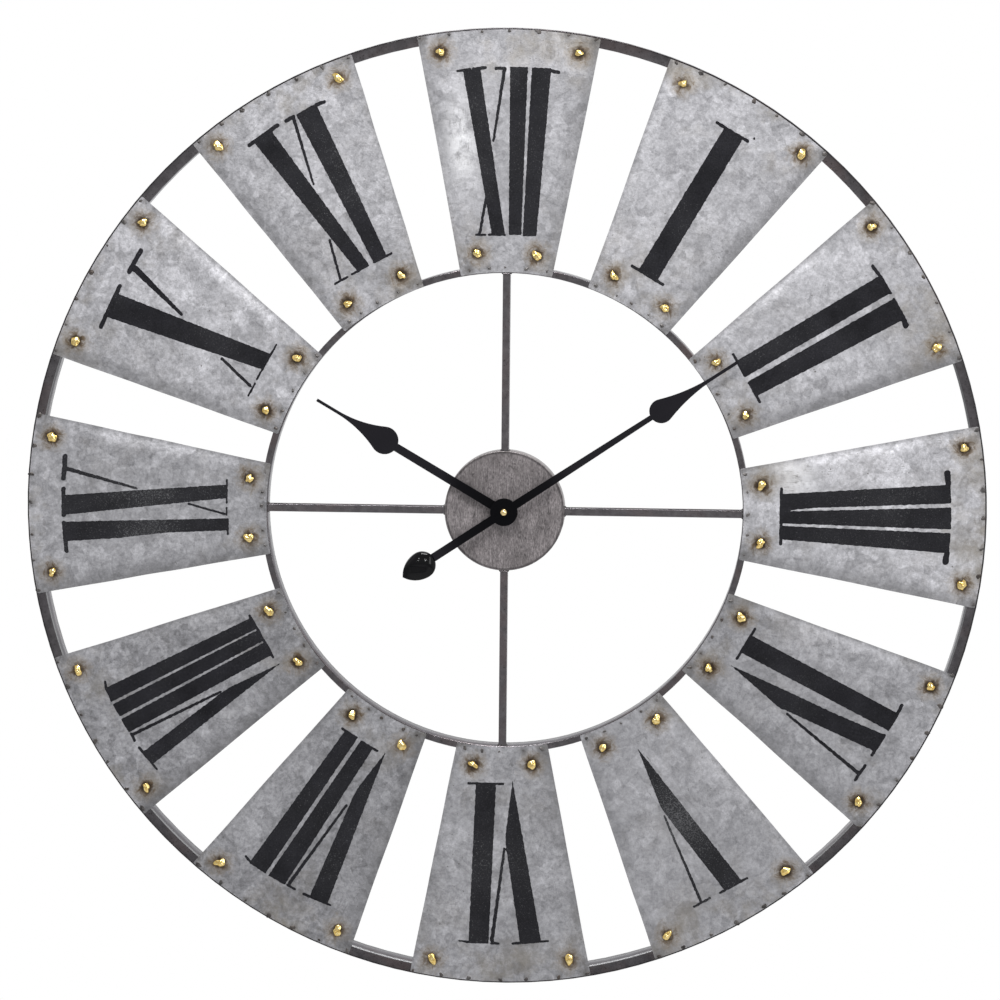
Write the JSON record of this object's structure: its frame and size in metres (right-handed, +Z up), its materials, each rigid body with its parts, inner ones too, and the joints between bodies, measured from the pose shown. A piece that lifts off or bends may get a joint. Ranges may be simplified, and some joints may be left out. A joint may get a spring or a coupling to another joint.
{
  "type": "wall clock",
  "caption": "Round open-frame wall clock: galvanised numeral plates on two steel rings, spokes to a hub pan, spade hands with a counterweight, quartz movement behind.",
  "frame": {"origin": "centre of the hanging hole, on the wall plane at the back of the outer ring", "axes": "+Z up, +Y from the viewer into the wall, so the dial faces -Y; +X to the viewer's right"},
  "size_m": [0.7999, 0.043, 0.8],
  "materials": {
    "frame_steel": "rubbed dark brown-grey paint on steel bar",
    "hub_steel": "upright brushed dark steel",
    "galvanised_sheet": "weathered galvanised sheet, mottled",
    "braze_gold": "bright irregular braze drops",
    "hand_black": "satin black paint on aluminium sheet",
    "gloss_black": "glossy black",
    "brass": "polished",
    "rubber": "matt",
    "case_plastic": "fine moulded grain",
    "gear_plastic": "plain moulded",
    "pinion_brass": "turned",
    "bright_steel": "bright plated",
    "motor_iron": "stamped iron",
    "magnet": "sintered",
    "copper_wire": "enamelled wire",
    "board_green": "solder mask",
    "crystal_can": "drawn can",
    "battery_wrap": "plain printed wrap"
  },
  "bodies": {
    "clock_frame": {"outer_ring": "frame_steel", "inner_ring": "frame_steel", "spoke_top": "frame_steel", "spoke_right": "frame_steel", "spoke_bottom": "frame_steel", "spoke_left": "frame_steel", "hub_pan": "hub_steel", "numeral_plate_01": "galvanised_sheet", "numeral_plate_02": "galvanised_sheet", "numeral_plate_03": "galvanised_sheet", "numeral_plate_04": "galvanised_sheet", "numeral_plate_05": "galvanised_sheet", "numeral_plate_06": "galvanised_sheet", "numeral_plate_07": "galvanised_sheet", "numeral_plate_08": "galvanised_sheet", "numeral_plate_09": "galvanised_sheet", "numeral_plate_10": "galvanised_sheet", "numeral_plate_11": "galvanised_sheet", "numeral_plate_12": "galvanised_sheet", "braze_dots": "braze_gold", "hanger_tab": "frame_steel", "gasket": "rubber", "threaded_bush": "brass", "fixing_washer": "brass", "fixing_nut": "brass", "movement_case": "case_plastic", "rear_cover": "case_plastic", "middle_plate": "gear_plastic", "cover_screws": "bright_steel", "stator": "motor_iron", "coil_core": "motor_iron", "coil_bobbin": "gear_plastic", "coil_winding": "copper_wire", "circuit_board": "board_green", "quartz_crystal": "crystal_can", "battery": "battery_wrap", "contact_plus": "bright_steel", "contact_minus": "bright_steel"},
    "minute_hand_set": {"minute_hand": "hand_black", "minute_collet": "brass", "counterweight": "gloss_black", "hand_nut": "brass", "minute_arbor": "bright_steel", "centre_wheel": "gear_plastic", "cannon_pinion": "pinion_brass"},
    "hour_hand_set": {"hour_hand": "hand_black", "hour_collet": "brass", "hour_wheel": "gear_plastic"},
    "setting_set": {"minute_wheel": "gear_plastic", "setting_knob": "case_plastic"},
    "third_set": {"third_wheel": "gear_plastic"},
    "rotor_set": {"rotor": "gear_plastic", "rotor_magnet": "magnet"}
  },
  "joints": [
    {"name": "minute_hand_turn", "type": "hinge", "parent": "clock_frame", "child": "minute_hand_set", "pos_m": [0, 0, -0.372], "axis": [0, 1, 0], "continuous": true},
    {"name": "hour_hand_turn", "type": "hinge", "parent": "clock_frame", "child": "hour_hand_set", "pos_m": [0, 0, -0.372], "axis": [0, 1, 0], "continuous": true},
    {"name": "setting_knob_turn", "type": "hinge", "parent": "clock_frame", "child": "setting_set", "pos_m": [0.01, 0, -0.372], "axis": [0, 1, 0], "continuous": true},
    {"name": "third_wheel_turn", "type": "hinge", "parent": "clock_frame", "child": "third_set", "pos_m": [-0.00736, 0, -0.36775], "axis": [0, 1, 0], "continuous": true},
    {"name": "rotor_turn", "type": "hinge", "parent": "clock_frame", "child": "rotor_set", "pos_m": [-0.00736, 0, -0.36055], "axis": [0, 1, 0], "continuous": true}
  ],
  "couplings": [
    {"joint": "hour_hand_turn", "follows": "minute_hand_turn", "ratio": 0.083333},
    {"joint": "setting_knob_turn", "follows": "minute_hand_turn", "ratio": -0.33333},
    {"joint": "third_wheel_turn", "follows": "minute_hand_turn", "ratio": -7.5},
    {"joint": "rotor_turn", "follows": "minute_hand_turn", "ratio": 60}
  ]
}
